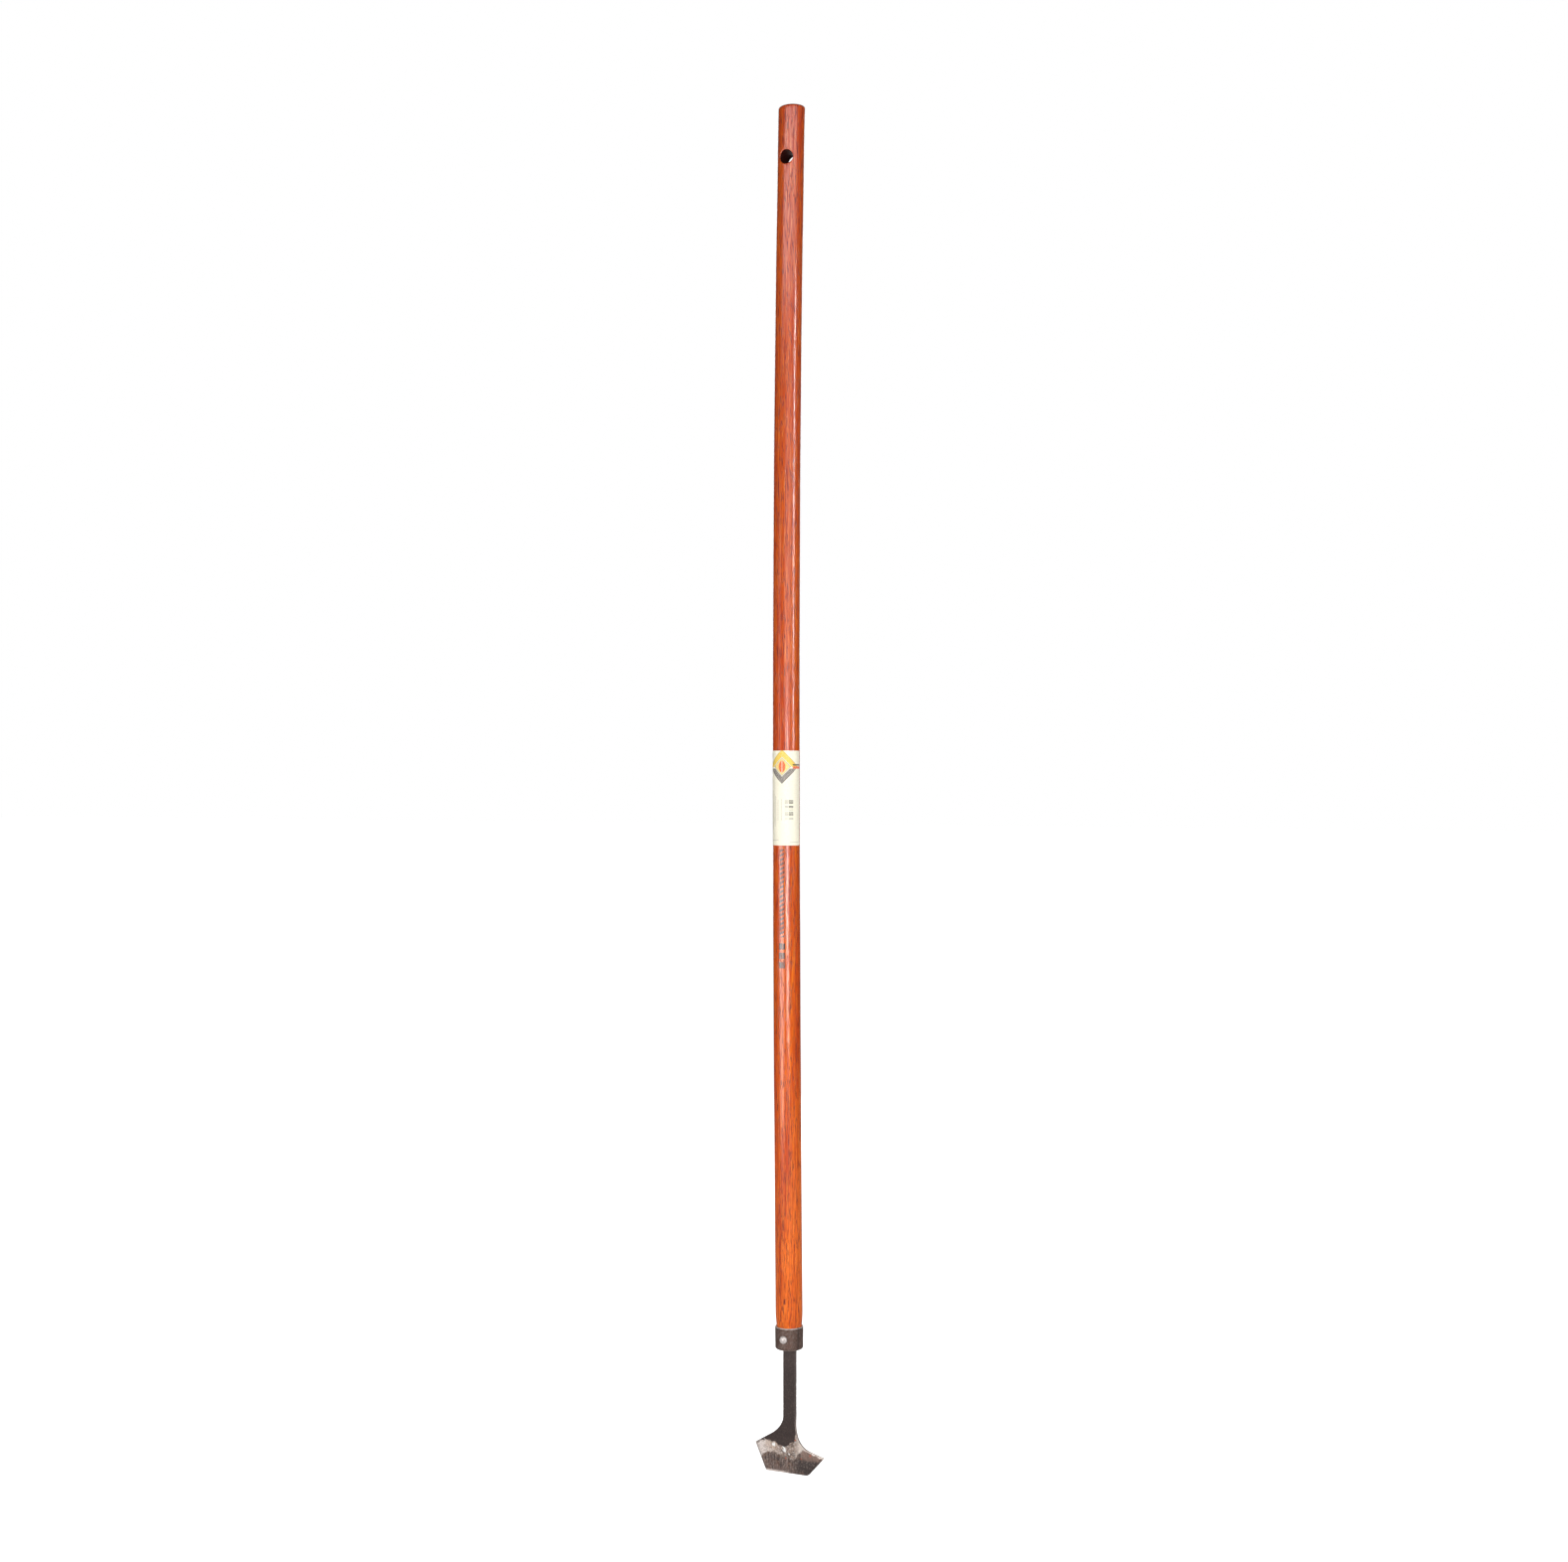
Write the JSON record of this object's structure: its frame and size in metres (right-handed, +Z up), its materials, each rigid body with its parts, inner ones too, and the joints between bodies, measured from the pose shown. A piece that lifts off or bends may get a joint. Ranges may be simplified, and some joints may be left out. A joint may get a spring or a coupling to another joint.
{
  "type": "long-handled hand hoe",
  "caption": "Long wooden pole with a hang hole, a riveted steel ferrule and a flat forged steel head that flares from a straight shank into a five-edged weeding blade.",
  "frame": {"origin": "centre of the hang hole, on the handle's centre line", "axes": "+Z up the handle to its butt, +X along the blade's bottom edge, -Y to the front, where the rivet has its domed head"},
  "size_m": [0.0794, 0.0344, 1.4355],
  "materials": {
    "stained_wood": "red-orange stain under clear varnish, fine lengthwise grain with dark open pores",
    "ferrule_steel": "dark brown-grey blued steel, mottled, worn bright along its rims",
    "forged_steel": "dark forge scale on the shank, ground bright steel and brown-grey patina on the blade",
    "rivet_steel": "plain bright steel, lightly dulled",
    "label_paper": null
  },
  "bodies": {
    "root": {"handle": "stained_wood", "ferrule": "ferrule_steel", "blade": "forged_steel", "rivet": "rivet_steel", "label": "label_paper"}
  },
  "joints": []
}
